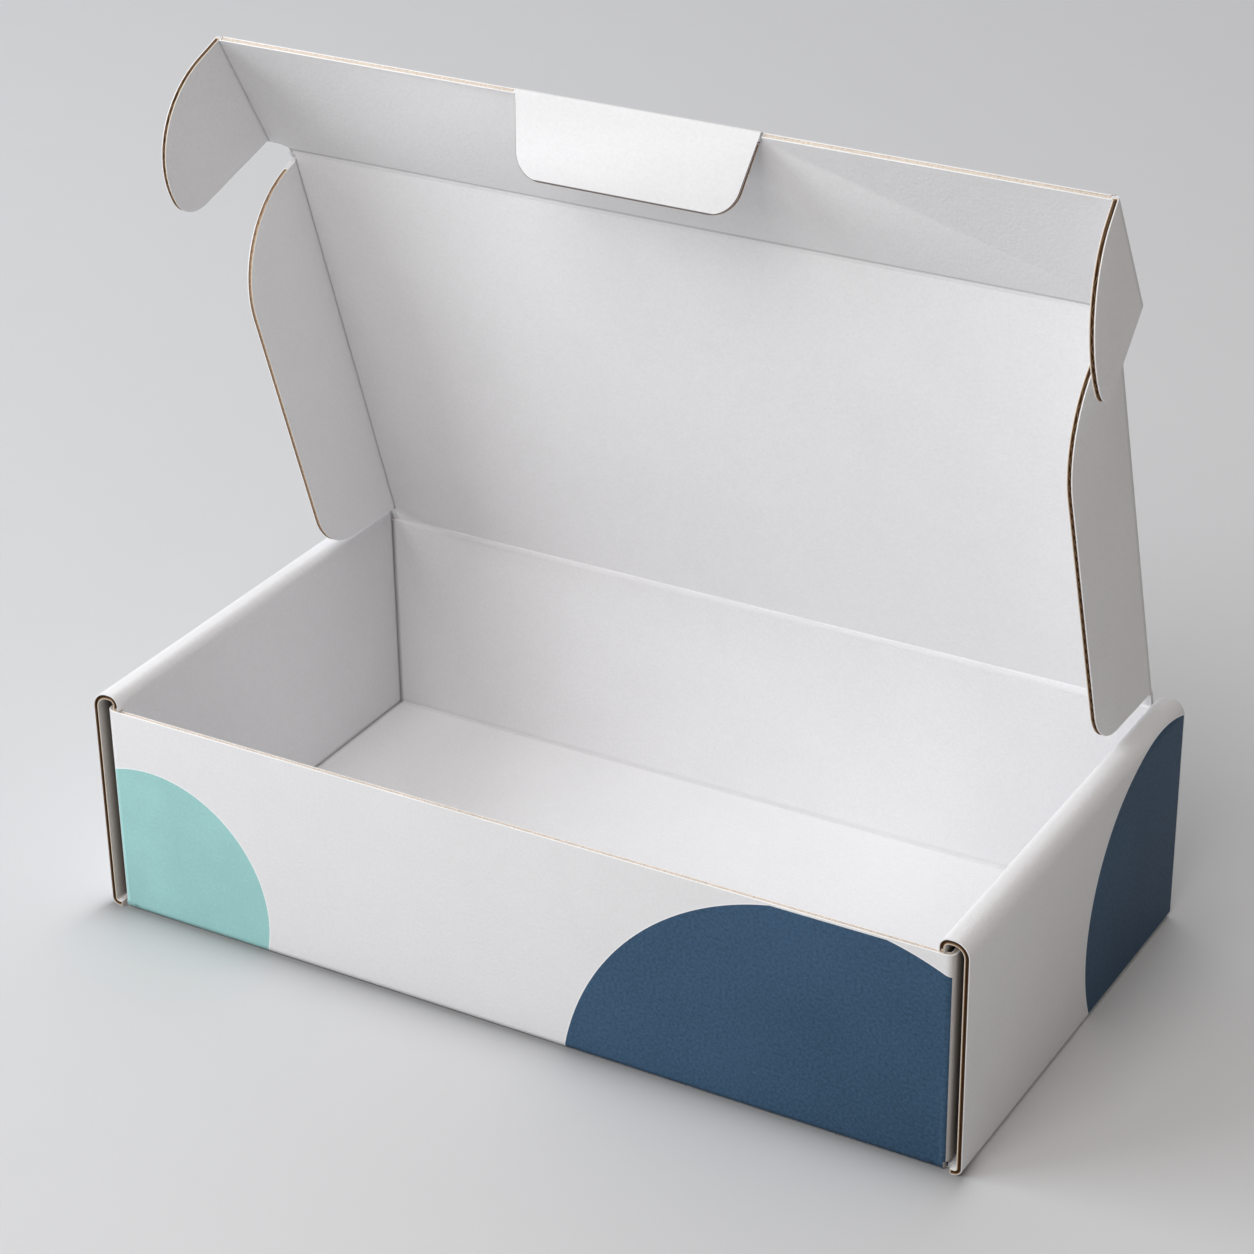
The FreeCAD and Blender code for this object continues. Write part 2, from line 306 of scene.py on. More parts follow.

# %% [markdown]
# White board. The tone multiplies the white, and the same grain is the height of a weak bump, so the
# light skims it as it does real paper. The Principled surface stays in the material itself.
# Each sheet has its own copy. It has painted shade along its own folds, which are known from the joints,
# and a tone of its own, which is painted light and shade: some panels are made lighter and others darker, as
# the room's light falls on them.

# %% White board
INNER_LINER = (0.835, 0.832, 0.845)
# the outside's white, made greyer than the inside as painted shade
OUTER_LINER_SHADED = (0.800, 0.797, 0.812)
GRAIN_PER_METRE = 1200.0
GRAIN_HEIGHT = 0.14 * MM
WHITE_GRAIN = 0.14
WHITE_CLOUD = 0.06
PAPER_ROUGHNESS = 0.62
PAPER_SHINE = 0.35
WHITE_BUMP = 0.8
WIDE = 75.0 * MM                # how far the shade of an inner corner reaches over the sheets
# near, far and depth of each line's painted shade; a negative depth paints light
FOLD_SHADE = (0.75 * MM, 1.70 * MM, 0.16)
LID_CORNER_SHADE = (0.0, WIDE, 0.18)
TUCK_CORNER_SHADE = (0.0, WIDE, 0.15)
HINGE_LIGHT = (0.20 * MM, 1.90 * MM, -0.09)
TUCK_CREASE_SHADE = (0.15 * MM, 0.55 * MM, 0.28)
TAB_RIM_SHADE = (0.32 * MM, 0.50 * MM, 0.80)
HINGE_LIGHT_DROP = 0.30 * MM    # below the corner where the sheets meet
TUCK_CREASE_ALONG = 0.55 * MM   # from that corner along the tuck flap
# painted light and shade: a tone for each sheet that makes some lighter and some darker, and the crease a
# little lighter as a painted highlight
PAINTED_SHEET_LIGHT = {"lid": 1.065, "tuck_flap": 0.92, "lock_tab": 0.95, "ear_left": 0.92, "ear_right": 1.04,
              "side_flap_left": 0.96, "side_flap_right": 0.96, "crease": 1.03}


def use_grain(tree, place, grain, cloud, fibre=GRAIN_PER_METRE):
    return add(tree, "Group", {"Place": place, "Fibre": fibre, "Grain": grain, "Cloud": cloud},
               node_tree=paper_grain).outputs


def times(tree, colour, value):
    """A colour, or a socket that gives one, times a value."""
    return add(tree, "VectorMath", {0: colour, "Scale": value}, operation="SCALE").outputs["Vector"]


def paper_surface(tree, surface, height, colour, roughness, bump):
    tree.links.new(colour, surface.inputs["Base Color"])
    surface.inputs["Roughness"].default_value = roughness
    surface.inputs["Specular IOR Level"].default_value = PAPER_SHINE
    rough = add(tree, "Bump", {"Strength": bump, "Distance": GRAIN_HEIGHT, "Height": height})
    tree.links.new(rough.outputs["Normal"], surface.inputs["Normal"])


def fold_shades(name):
    """Shaded lines along the side folds of a sheet."""
    lines = []
    for joint in frame["joints"]:
        axis = Vector(joint["axis"]).normalized()
        if name in (joint["parent"], joint["child"]) and abs(axis.x) < 0.5:
            lines.append((tuple(joint["pos_m"]), tuple(axis), *FOLD_SHADE))
    return lines


def corner_shade(child, shade):
    """Wide soft shade away from the fold of a flap."""
    fold = joint_to(child)
    return tuple(fold["pos_m"]), tuple(fold["axis"]), *shade


def hinge_light():
    """Painted highlight along the bead of the hinge: a shade line with negative depth, which brightens the
    colour.
    """
    on = crease_corner("lid", inner_normal("lid"), Vector((0, -1, 0))) - Vector((0, 0, HINGE_LIGHT_DROP))
    return tuple(on), ALONG_X, *HINGE_LIGHT


def tuck_crease_shade():
    """Painted shade: a thin dark line beside the tuck flap's crease, on the tuck flap's side."""
    on = tuck_corner + away_from_fold("tuck_flap", "tuck_flap") * TUCK_CREASE_ALONG
    return tuple(on), ALONG_X, *TUCK_CREASE_SHADE


def tab_rim_shade():
    """Painted shade: a dark line along the tab's lower edge, which faces away from the light."""
    down = away_from_fold("lock_tab", "lock_tab")
    place = Vector(joint_to("lock_tab")["pos_m"])
    reach = max((v.co - place).dot(down) for v in frame["nodes"]["lock_tab"].data.vertices)
    on = place + down * reach - inner_normal("lock_tab") * HALF_BOARD
    return tuple(on), ALONG_X, *TAB_RIM_SHADE


def white_board(name, more_lines=()):
    material, tree, surface, given = new_material("white_" + name)
    grain = use_grain(tree, given["Object"], WHITE_GRAIN, WHITE_CLOUD)
    tone = shade_lines(tree, given["Object"], grain["Tone"], fold_shades(name) + list(more_lines))
    tone = sums(tree, "MULTIPLY", tone, PAINTED_SHEET_LIGHT[name])
    paper_surface(tree, surface, grain["Height"], times(tree, INNER_LINER, tone), PAPER_ROUGHNESS, WHITE_BUMP)
    return material


lid_corner = corner_shade("side_flap_left", LID_CORNER_SHADE)
MORE_LINES = {"lid": [lid_corner],
              "tuck_flap": [tuck_crease_shade(), corner_shade("ear_left", TUCK_CORNER_SHADE)],
              "crease": [tuck_crease_shade(), hinge_light(), lid_corner],
              "lock_tab": [tab_rim_shade()]}
white = {name: white_board(name, MORE_LINES.get(name, ())) for name in sorted(PAINTED_SHEET_LIGHT)}
print("materials", sorted(m.name for m in white.values()))

# %% [markdown]
# The print is three plain discs that run off the edges of their panels: teal at the bottom left of the
# front, blue at its right, and blue at the back of the right side. A disc is a distance from a centre,
# measured in the plane of its panel. The ink dries with a fine pale rim, so the group gives that too.
# Over the roll the board turns inwards, and the print goes round with it: Wrap moves the place that is
# measured by how far the surface has turned in.

# %% Disc and window groups
INK_EDGE = 0.07 * MM
RIM_WIDTH = 0.5 * MM


def disc_group():
    """Ink is 1 inside a disc. Flatten is 0 for the axis that the panel faces, and 1 for the others."""
    group, given, result = new_group("printed_disc",
                                     [("Place", "Vector"), ("Centre", "Vector"), ("Flatten", "Vector"),
                                      ("Radius", "Float")],
                                     [("Ink", "Float"), ("Rim", "Float")])
    away = vectors(group, "SUBTRACT", given["Place"], given["Centre"])
    flat = vectors(group, "MULTIPLY", away, given["Flatten"])
    beyond = sums(group, "SUBTRACT", vectors(group, "LENGTH", flat, result="Value"), given["Radius"])
    ink = ramp(group, beyond, -INK_EDGE, INK_EDGE, 1.0, 0.0, "SMOOTHSTEP")
    rim = ramp(group, beyond, 0.0, RIM_WIDTH, 1.0, 0.0, "SMOOTHSTEP")
    group.links.new(ink, result["Ink"])
    group.links.new(rim, result["Rim"])
    return group


def window_group():
    """1 where a value lies between two limits, and 0 elsewhere."""
    group, given, result = new_group("window", [("Value", "Float"), ("Low", "Float"), ("High", "Float")],
                                     [("Mask", "Float")])
    above = sums(group, "GREATER_THAN", given["Value"], given["Low"])
    below = sums(group, "LESS_THAN", given["Value"], given["High"])
    group.links.new(sums(group, "MULTIPLY", above, below), result["Mask"])
    return group


printed_disc = disc_group()
window = window_group()
print("groups", printed_disc.name, window.name)

# %% [markdown]
# Where the ink may lie. It stops short of the cut edges and of the folds, which stay white. The
# outside of the tray has painted shade that makes it greyer than the inside, and the narrow slots at the
# corners, where no light gets in, have painted shade that is warm and dark.

# %% Places on the tray
PRINTED_FRONT = (-0.1200, 0.1204)
PRINTED_FRONT_RISE = (0.0003, 0.0599)
PRINTED_SIDE = (-0.0650, 0.0645)
PRINTED_SIDE_RISE = (0.0006, 0.0700)
FACES_OUT = 0.45                       # least share of the outward direction in the normal of a printed face
FRONT_Y = -0.0640
SIDE_X = 0.1250
# painted shade: the outside turns greyer over the roll, and the front panel is darker still
OUTSIDE_FROM = 0.1195                  # the white turns greyer over the roll, from here to the side
FRONT_PAINTED_SHADE = 0.91                      # of the front panel, to the sides
SLOT_X = (0.1196, 0.12365)
SLOT_TOP = 0.0612
HOLLOW_X = (0.1183, 0.12365)           # the hollow of the roll lies over the slot
HOLLOW_Z = (0.0560, 0.0637)
BEHIND_PANEL = 0.0632                  # from here back the front panel hides the hollow
MOUTH_Y = 0.0647                       # where a slot opens, and how deep the light still gets in
DEEP_Y = 0.0605
# painted shade in the slots, from their mouth to deep inside
MOUTH_PAINTED_SHADE = (0.80, 0.76, 0.71, 1)
DEEP_PAINTED_SHADE = (0.21, 0.18, 0.155, 1)


def between(tree, value, limits):
    return add(tree, "Group", {"Value": value, "Low": limits[0], "High": limits[1]},
               node_tree=window).outputs["Mask"]


def all_of(tree, *masks):
    result = masks[0]
    for mask in masks[1:]:
        result = sums(tree, "MULTIPLY", result, mask)
    return result


def blend_colours(tree, factor, base, other):
    mix = add(tree, "Mix", {"Factor": factor, 6: base, 7: other}, data_type="RGBA")
    return mix.outputs[2]


print("front ink", PRINTED_FRONT, "side ink", PRINTED_SIDE)

# %% [markdown]
# Inside, soft dark lines of painted shade run where the side walls' linings meet the base and the rear panel,
# and wider painted shade spreads from the rear corners up the walls and along the base's right side. Each one
# goes along an axis, so it is given by a point on it.

# %% Inner corners
LINING_X = 0.1170
REAR_Y = 0.0635
BASE_Z = 0.0015
ALONG_Y = (0, 1, 0)
ALONG_Z = (0, 0, 1)
# near, far and depth of each line's painted shade
UPRIGHT_CORNER_SHADE = (0.0, 1.3 * MM, 0.42)
SIDE_CORNER_SHADE = (0.0, 1.3 * MM, 0.34)
REAR_CORNER_SHADE = (0.0, 1.5 * MM, 0.16)
RIGHT_SHADE = (0.0, WIDE, 0.12)
LEFT_WALL_SHADE = (0.0, WIDE, 0.16)
RIGHT_WALL_SHADE = (0.0, WIDE, 0.04)

corner_lines = []
for side in (-1, 1):
    corner_lines.append(((side * LINING_X, REAR_Y, 0), ALONG_Z, *UPRIGHT_CORNER_SHADE))
    corner_lines.append(((side * LINING_X, 0, BASE_Z), ALONG_Y, *SIDE_CORNER_SHADE))
corner_lines.append(((0, REAR_Y, BASE_Z), ALONG_X, *REAR_CORNER_SHADE))
corner_lines.append(((LINING_X, 0, BASE_Z), ALONG_Y, *RIGHT_SHADE))
wall_lines = [((-LINING_X, REAR_Y, 0), ALONG_Z, *LEFT_WALL_SHADE),
              ((LINING_X, REAR_Y, 0), ALONG_Z, *RIGHT_WALL_SHADE)]
print(len(corner_lines), "shaded corners")

# %% [markdown]
# Ink on uncoated board sinks in unevenly, so its colour is mottled by the fibres more than the white is.

# %% Printed board
TEAL_INK = (0.312, 0.565, 0.555, 1)
BLUE_INK = (0.039, 0.086, 0.152, 1)
TEAL_GRAIN = 0.10
BLUE_GRAIN = 1.20
INK_CLOUD = 0.25
INK_SHINE = 0.17
RIM_WHITE = 0.17
WRAP = Vector((0.0, -1.7, 1.04))       # how the print drifts over the roll, for each metre turned in
TEAL_DISC = ((-0.1088, 0.0, 0.0092), 0.0356)
BLUE_DISC = ((0.0887, 0.0, -0.0123), 0.0738)
SIDE_DISC = ((0.0, 0.0498, 0.0200), 0.0437)
IN_FRONT = (-1.0, -0.0620)             # Y of the front panel and beyond
ON_THE_RIGHT = (0.1215, 1.0)           # X of the right side and beyond


def printed_areas(tree, place, facing):
    """Masks of the front panel's and the right side's printable faces."""
    front = all_of(tree, between(tree, facing["Y"], (-2.0, -FACES_OUT)), between(tree, place["Y"], IN_FRONT),
                   between(tree, place["X"], PRINTED_FRONT), between(tree, place["Z"], PRINTED_FRONT_RISE))
    side = all_of(tree, between(tree, facing["X"], (FACES_OUT, 2.0)), between(tree, place["X"], ON_THE_RIGHT),
                  between(tree, place["Y"], PRINTED_SIDE), between(tree, place["Z"], PRINTED_SIDE_RISE))
    return front, side


def slot_painted_shade(tree, place):
    """Painted shade: light at the mouth of a slot, and almost black a few millimetres in."""
    deep = ramp(tree, sums(tree, "ABSOLUTE", place["Y"]), MOUTH_Y, DEEP_Y, 0.0, 1.0)
    return blend_colours(tree, deep, MOUTH_PAINTED_SHADE, DEEP_PAINTED_SHADE)


def liner_colour(tree, place, facing):
    """Inside white, outside white with painted shade, and the painted shade of the slots."""
    out_side = ramp(tree, sums(tree, "ABSOLUTE", place["X"]), OUTSIDE_FROM, SIDE_X, 0.0, 1.0)
    out_front = all_of(tree, sums(tree, "LESS_THAN", place["Y"], FRONT_Y),
                       sums(tree, "LESS_THAN", facing["Y"], -0.4))
    outside = sums(tree, "MAXIMUM", out_side, out_front)
    colour = blend_colours(tree, outside, (*INNER_LINER, 1), (*OUTER_LINER_SHADED, 1))
    colour = times(tree, colour, sums(tree, "MULTIPLY_ADD", out_front, FRONT_PAINTED_SHADE - 1, 1.0))
    # painted shade in the slots and the hollow of the rolls
    dark = vectors(tree, "MULTIPLY", colour, slot_painted_shade(tree, place))
    return blend_colours(tree, in_slot(tree, place, facing), colour, dark)


def in_slot(tree, place, facing):
    """Faces in the slots beside the front corners, and in the hollow of the rolls above them."""
    across = sums(tree, "ABSOLUTE", place["X"])
    sideways = ramp(tree, sums(tree, "ABSOLUTE", facing["X"]), 0.3, 0.9, 0.0, 1.0)
    slot = all_of(tree, between(tree, across, SLOT_X), sideways, between(tree, place["Z"], (0.0, SLOT_TOP)))
    behind = sums(tree, "LESS_THAN", sums(tree, "ABSOLUTE", place["Y"]), BEHIND_PANEL)
    hidden = sums(tree, "MAXIMUM", sums(tree, "LESS_THAN", facing["Z"], 0.3), behind)
    hollow = all_of(tree, between(tree, across, HOLLOW_X), between(tree, place["Z"], HOLLOW_Z), hidden,
                    sums(tree, "LESS_THAN", sums(tree, "ABSOLUTE", facing["Y"]), 0.5))
    return sums(tree, "MAXIMUM", slot, hollow)


def printed_board():
    material, tree, surface, given = new_material("printed_board")
    place = add(tree, "SeparateXYZ", {"Vector": given["Object"]}).outputs
    facing = add(tree, "SeparateXYZ", {"Vector": given["Normal"]}).outputs
    turned_in = sums(tree, "MAXIMUM", sums(tree, "SUBTRACT", SIDE_X, place["X"]), 0.0)
    wrapped = vectors(tree, "ADD", times(tree, WRAP, turned_in), given["Object"])
    front, side = printed_areas(tree, place, facing)
    colour = liner_colour(tree, place, facing)
    inked, grain_share = 0.0, WHITE_GRAIN
    for ink, ink_grain, disc, flatten, panel, where in (
            (TEAL_INK, TEAL_GRAIN, TEAL_DISC, (1, 0, 1), front, given["Object"]),
            (BLUE_INK, BLUE_GRAIN, BLUE_DISC, (1, 0, 1), front, given["Object"]),
            (BLUE_INK, BLUE_GRAIN, SIDE_DISC, (0, 1, 1), side, wrapped)):
        drawn = add(tree, "Group", {"Place": where, "Centre": disc[0], "Flatten": flatten, "Radius": disc[1]},
                    node_tree=printed_disc).outputs
        rim = sums(tree, "MULTIPLY_ADD", all_of(tree, drawn["Rim"], panel), RIM_WHITE, 1.0)
        mask = all_of(tree, drawn["Ink"], panel)
        colour = blend_colours(tree, mask, times(tree, colour, rim), ink)
        inked = sums(tree, "MAXIMUM", inked, mask)
        grain_share = sums(tree, "MULTIPLY_ADD", mask, ink_grain, grain_share)
    cloud_share = sums(tree, "MULTIPLY_ADD", inked, INK_CLOUD, WHITE_CLOUD)
    grain = use_grain(tree, given["Object"], grain_share, cloud_share)
    # painted shade along the inner corners, and from the rear corners on the upright walls only
    tone = shade_lines(tree, given["Object"], grain["Tone"], corner_lines)
    wall = sums(tree, "SUBTRACT", shade_lines(tree, given["Object"], 1.0, wall_lines), 1.0)
    upright = sums(tree, "LESS_THAN", sums(tree, "ABSOLUTE", facing["Z"]), 0.5)
    tone = sums(tree, "MULTIPLY", tone, sums(tree, "MULTIPLY_ADD", wall, upright, 1.0))
    paper_surface(tree, surface, grain["Height"], times(tree, colour, tone), PAPER_ROUGHNESS, WHITE_BUMP)
    tree.links.new(sums(tree, "MULTIPLY_ADD", inked, INK_SHINE - PAPER_SHINE, PAPER_SHINE),
                   surface.inputs["Specular IOR Level"])
    return material


printed = printed_board()
print("material", printed.name)

# %% [markdown]
# The core of the board is unbleached brown paper. Deep between the liners its brown is painted almost
# black, as painted shade of the deep flutes, and the wavy medium that shows at a cut edge is a lighter
# kraft. The cut edge of the inner liner is a warm cream. Where a cut runs along the flutes the liners
# close over it, and only a pale brown line is left. The crushed rim of a cut liner is painted whiter than its
# face, as a painted highlight.

# %% Core materials
CORE_CLOUD = 0.30
CORE_FIBRE = 1500.0
CORE_BUMP = 0.5


def fibrous(name, colour, roughness, grain_share):
    material, tree, surface, given = new_material(name)
    grain = use_grain(tree, given["Object"], grain_share, CORE_CLOUD, CORE_FIBRE)
    paper_surface(tree, surface, grain["Height"], times(tree, colour, grain["Tone"]), roughness, CORE_BUMP)
    return material


# brown core, painted darker as painted shade of the deep flutes
core_brown = fibrous("core_brown", (0.115, 0.058, 0.026), 0.9, 0.9)
flute_kraft = fibrous("flute_kraft", (0.31, 0.195, 0.11), 0.85, 0.6)
cream_edge = fibrous("cream_edge", (0.60, 0.48, 0.35), 0.75, 0.3)
kraft_line = fibrous("kraft_line", (0.56, 0.42, 0.31), 0.8, 0.5)
# painted highlight on the crushed rim of a cut liner
edge_highlight = fibrous("edge_highlight", (0.91, 0.905, 0.91), 0.6, 0.08)
closed_line = fibrous("closed_line", (0.70, 0.62, 0.54), 0.8, 0.9)
EDGE_MATERIALS = [core_brown, flute_kraft, cream_edge, kraft_line, edge_highlight, closed_line]
LINER_SLOT, CORE_SLOT, FLUTE_SLOT, CREAM_SLOT, KRAFT_SLOT, EDGE_SLOT, CLOSED_SLOT = range(7)
print("materials", [m.name for m in EDGE_MATERIALS])

# %% [markdown]
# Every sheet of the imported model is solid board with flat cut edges. On the real one, a cut edge shows
# two thin liners with the core sunk between them. The quickest way would be a striped colour, but then
# the edge stays flat from close by. So each sheet is copied, its cut faces are found, and the middle of
# every cut is pushed in between the liners.
# A cut face is one that stands square to the sheet and isn't part of a fold.

# %% Find the folds
NEAR_FOLD = 1.1 * MM
FOLD_PAST = 0.4 * MM


def off_axis(point, place, axis):
    away = point - place
    return (away - axis * away.dot(axis)).length


def fold_lines(name):
    """Place, direction and both ends of each fold that a sheet has."""
    lines = []
    for joint in frame["joints"]:
        if name not in (joint["parent"], joint["child"]):
            continue
        place = Vector(joint["pos_m"])
        axis = Vector(joint["axis"]).normalized()
        child = frame["nodes"][joint["child"]].data.vertices
        along = [(v.co - place).dot(axis) for v in child if off_axis(v.co, place, axis) < NEAR_FOLD]
        lines.append((place, axis, min(along) - FOLD_PAST, max(along) + FOLD_PAST))
    return lines


def on_fold(point, lines):
    for place, axis, first, last in lines:
        if off_axis(point, place, axis) < NEAR_FOLD and first < (point - place).dot(axis) < last:
            return True
    return False


print({name: len(fold_lines(name)) for name in sorted(frame["nodes"])})

# %% [markdown]
# The mesh comes as loose triangles. Welding its corners and dissolving the edges inside flat faces
# gives whole faces, which can then be bevelled and inset. Close to a flap's own fold the cut is crushed
# shut, so no core shows there. On the tab a cut face runs right up to the fold, so it is parted first.

# %% Copy a sheet
WELD = 0.002 * MM
FLAT_ANGLE = math.radians(0.5)
ACROSS = 0.2        # most share of the sheet's normal in the normal of a cut face
CRUSHED = 3.2 * MM  # from the fold to the middle of a face


def whole_copy(name):
    work = bmesh.new()
    work.from_mesh(frame["nodes"][name].data)
    bmesh.ops.remove_doubles(work, verts=work.verts, dist=WELD)
    bmesh.ops.dissolve_limit(work, angle_limit=FLAT_ANGLE, verts=work.verts, edges=work.edges)
    for face in work.faces:
        face.material_index = LINER_SLOT
    work.normal_update()
    return work


def edge_faces(work, name):
    normal = inner_normal(name)
    return [f for f in work.faces if abs(f.normal.dot(normal)) < ACROSS]


def part_edges(work, name, distance):
    """Splits the edge faces of a flap at a distance from its own fold."""
    faces = edge_faces(work, name)
    edges = {e for f in faces for e in f.edges}
    verts = {v for f in faces for v in f.verts}
    away = away_from_fold(name, name)
    bmesh.ops.bisect_plane(work, geom=faces + list(edges) + list(verts), dist=WELD,
                           plane_co=Vector(joint_to(name)["pos_m"]) + away * distance, plane_no=away)


def is_crushed(face, name):
    """True for a face of a flap that lies close to the flap's own fold."""
    joint = joint_to(name)
    return off_axis(face.calc_center_median(), Vector(joint["pos_m"]), Vector(joint["axis"])) < CRUSHED


def flat_sheet_cuts(work, name):
    lines = fold_lines(name)
    return [f for f in edge_faces(work, name)
            if not on_fold(f.calc_center_median(), lines) and not is_crushed(f, name)]


print("crushed shut within", CRUSHED / MM, "mm of a fold")

# %% [markdown]
# Sink the core. A narrow bevel comes first, because a die-cut edge is a little crushed. Then one inset
# leaves the liner's own thickness at the rim. A second one slopes down over the glued foot of the
# medium, which is kraft, and a third goes straight down between the liners, where it is dark.

# %% Sink the core
BEVEL_STEPS = 3
GROOVE_NARROWING = 0.02 * MM


def cut_style(bevel, liner, foot, foot_depth, depth, core=CORE_SLOT, bevel_slot=EDGE_SLOT,
              liner_slot=EDGE_SLOT, foot_slot=FLUTE_SLOT):
    """Sizes of one kind of cut, given in millimetres, and the material slot of each of its parts."""
    return {"bevel": bevel * MM, "liner": liner * MM, "foot": foot * MM, "foot_depth": foot_depth * MM,
            "depth": depth * MM, "core": core, "bevel_slot": bevel_slot, "liner_slot": liner_slot,
            "foot_slot": foot_slot}


OPEN_CUT = cut_style(0.12, 0.20, 0.12, 0.30, 0.80)
# on the tab the bevel is core brown, which darkens the tab's edges beside the painted shade line
TAB_CUT = cut_style(0.16, 0.20, 0.12, 0.30, 0.80, bevel_slot=CORE_SLOT)
WALL_CUT = cut_style(0.10, 0.18, 0.12, 0.25, 0.90, bevel_slot=LINER_SLOT, liner_slot=LINER_SLOT)
PALE_CUT = cut_style(0.12, 0.26, 0.16, 0.15, 0.40, core=KRAFT_SLOT)
CLOSED_CUT = cut_style(0.34, 0.28, 0.04, 0.06, 0.20, core=CLOSED_SLOT, foot_slot=CLOSED_SLOT)


def bevel_rim(work, cuts, style):
    """Rounds the edges between cut faces and the liners, and gives back the cut faces."""
    for face in cuts:
        face.material_index = style["core"]
    chosen = set(cuts)
    rim = [e for e in work.edges if len([f for f in e.link_faces if f in chosen]) == 1]
    made = bmesh.ops.bevel(work, geom=rim, offset=style["bevel"], segments=BEVEL_STEPS, profile=0.5,
                           affect="EDGES", clamp_overlap=True)
    rounded = set(made["faces"])
    cuts = [f for f in work.faces if f.material_index == style["core"] and f not in rounded]
    for face in rounded:
        face.material_index = style["bevel_slot"]
    return cuts


def rim_outward(face, inside):
    """Direction from a rim face away from the cut that it runs round."""
    middle = face.calc_center_median()
    outer = [e for e in face.edges if all(f is face or f not in inside for f in e.link_faces)]
    longest = max(outer, key=lambda e: e.calc_length())
    return (longest.verts[0].co + longest.verts[1].co) / 2 - middle


def sink_core(work, cuts, style, towards_inner=None):
    """Cuts the groove between the liners. The rim on the inner liner's side becomes cream."""
    rim = bmesh.ops.inset_region(work, faces=cuts, thickness=style["liner"], use_even_offset=True,
                                 use_boundary=True)["faces"]
    inside = set(rim) | set(cuts)
    for face in rim:
        face.material_index = style["liner_slot"]
        if towards_inner and towards_inner(face.calc_center_median(), rim_outward(face, inside)):
            face.material_index = CREAM_SLOT
    foot = bmesh.ops.inset_region(work, faces=cuts, thickness=style["foot"], depth=-style["foot_depth"],
                                  use_even_offset=True, use_boundary=True)["faces"]
    for face in foot:
        face.material_index = style["foot_slot"]
    sides = bmesh.ops.inset_region(work, faces=cuts, thickness=GROOVE_NARROWING,
                                   depth=style["foot_depth"] - style["depth"],
                                   use_even_offset=True, use_boundary=True)["faces"]
    for face in list(sides) + list(cuts):
        face.material_index = style["core"]


print("open cuts are", OPEN_CUT["depth"] / MM, "mm deep, and closed ones", CLOSED_CUT["depth"] / MM, "mm")

# %% [markdown]
# The flutes run across the box, so they end in the outer edges of the lid's side flaps and of the ears.
# There the wavy medium shows. It is a thin ribbon that follows the cut, and its place between the liners
# is a sine of the distance along the fold, which gives long lazy waves where the edge turns.

# %% Fluted medium
FLUTE_PITCH = 3.4 * MM
MEDIUM = 0.14 * MM
RIBBON_STEP = 0.35 * MM


def rim_points(cuts, normal):
    """Points in order along the rim of the cut faces, on the side that the normal points to."""
    chosen = set(cuts)
    beside = {}
    for face in cuts:
        for edge in face.edges:
            other = [f for f in edge.link_faces if f not in chosen]
            if other and other[0].normal.dot(normal) > 0.9:
                a, b = edge.verts
                beside.setdefault(a, []).append(b)
                beside.setdefault(b, []).append(a)
    here = next(v for v, near in beside.items() if len(near) == 1)
    points = [here.co.copy()]
    before = None
    while True:
        onward = [v for v in beside[here] if v is not before]
        if not onward:
            return points
        before, here = here, onward[0]
        points.append(here.co.copy())


def even_steps(points, step):
    """The same line with points a step apart."""
    lengths = [(b - a).length for a, b in zip(points, points[1:])]
    total = sum(lengths)
    count = max(2, round(total / step))
    stepped = []
    i, passed = 0, 0.0
    for k in range(count + 1):
        want = total * k / count
        while i < len(lengths) - 1 and passed + lengths[i] < want:
            passed += lengths[i]
            i += 1
        share = min(1.0, (want - passed) / lengths[i])
        stepped.append(points[i].lerp(points[i + 1], share))
    return stepped


def add_medium(work, points, normal, fold, middle, top):
    """Wavy ribbon in the groove, as a closed strip that starts at the depth top."""
    wave = (BOARD - MEDIUM) / 2 - OPEN_CUT["liner"] - OPEN_CUT["bevel"]
    bottom = OPEN_CUT["depth"]
    line = [p - normal * (BOARD / 2) for p in even_steps(points, RIBBON_STEP)]
    rings = []
    for i, p in enumerate(line):
        along = (line[min(i + 1, len(line) - 1)] - line[max(i - 1, 0)]).normalized()
        inward = along.cross(normal)
        if inward.dot(middle - p) < 0:
            inward.negate()
        phase = 2 * math.pi * (p - fold[0]).dot(fold[1]) / FLUTE_PITCH
        shift = normal * (wave * math.sin(phase))
        ring = []
        for depth, side in ((top, -1), (top, 1), (bottom, 1), (bottom, -1)):
            ring.append(work.verts.new(p + shift + inward * depth + normal * (side * MEDIUM / 2)))
        rings.append(ring)
    return close_tube(work, rings, FLUTE_SLOT)


def close_tube(work, rings, slot):
    """Skin over rings of points, with both ends closed."""
    made = [work.faces.new(rings[0]), work.faces.new(rings[-1][::-1])]
    count = len(rings[0])
    for one, other in zip(rings, rings[1:]):
        for k in range(count):
            made.append(work.faces.new((one[k], other[k], other[(k + 1) % count], one[(k + 1) % count])))
    bmesh.ops.recalc_face_normals(work, faces=made)
    for face in made:
        face.material_index = slot
    return len(made)


print("flute pitch", FLUTE_PITCH / MM, "mm")

# %% [markdown]
# Now the sheets themselves. Each copy stands for its node and moves with that node's body. Curved folds
# are shaded smooth, and anything sharper than the limit stays a crisp edge.

# %% Make the flat sheets
SHARP = math.radians(32)


def new_piece(name, work, materials):
    mesh = bpy.data.meshes.new(name)
    work.to_mesh(mesh)
    work.free()
    mesh.shade_smooth()
    mesh.set_sharp_from_angle(angle=SHARP)
    for material in materials:
        mesh.materials.append(material)
    piece = bpy.data.objects.new(name, mesh)
    bpy.context.scene.collection.objects.link(piece)
    print(name, len(mesh.polygons), "faces")
    return piece


def finish_sheet(name, work, board_material):
    piece = new_piece(name + "_board", work, [board_material] + EDGE_MATERIALS)
    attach(piece, name)
    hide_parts(name)


